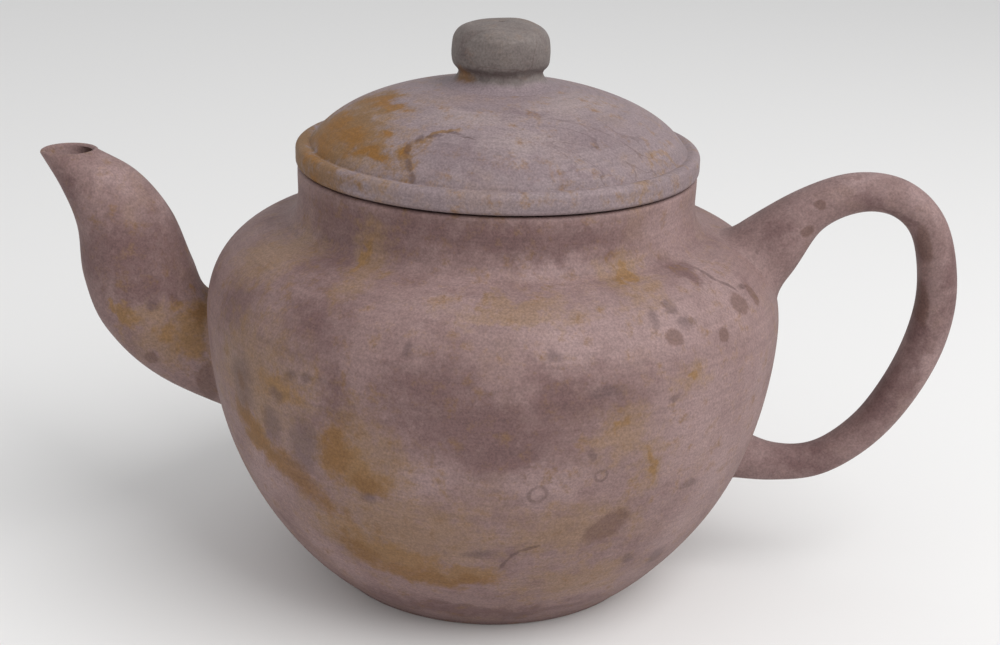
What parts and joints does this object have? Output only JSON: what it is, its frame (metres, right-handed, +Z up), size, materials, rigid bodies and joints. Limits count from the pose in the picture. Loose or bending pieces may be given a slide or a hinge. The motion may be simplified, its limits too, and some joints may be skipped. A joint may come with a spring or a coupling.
{
  "type": "yixing clay teapot",
  "caption": "Round unglazed clay teapot with a curved spout, an ear-shaped side handle and a lift-off domed lid with a small knob.",
  "frame": {"origin": "on the pot's axis, in the plane of the foot that it stands on", "axes": "+Z up along the pot's axis; +X towards the handle, so the spout points along -X; the pot is its own mirror image across Y"},
  "size_m": [0.1929, 0.12, 0.1182],
  "materials": {
    "purple_clay": "unglazed fired clay, matt with a soft sheen from handling, stained ochre and brown"
  },
  "bodies": {
    "pot": {"base_disc": "purple_clay", "body_wall": "purple_clay", "shoulder_disc": "purple_clay", "neck_ring": "purple_clay", "spout": "purple_clay", "handle": "purple_clay"},
    "lid": {"lid_rim_ring": "purple_clay", "lid_dome": "purple_clay", "lid_locating_ring": "purple_clay", "knob": "purple_clay"}
  },
  "joints": [
    {"name": "lid_lift", "type": "slide", "parent": "pot", "child": "lid", "axis": [0, 0, 1], "range_m": [0, 0.06]}
  ]
}
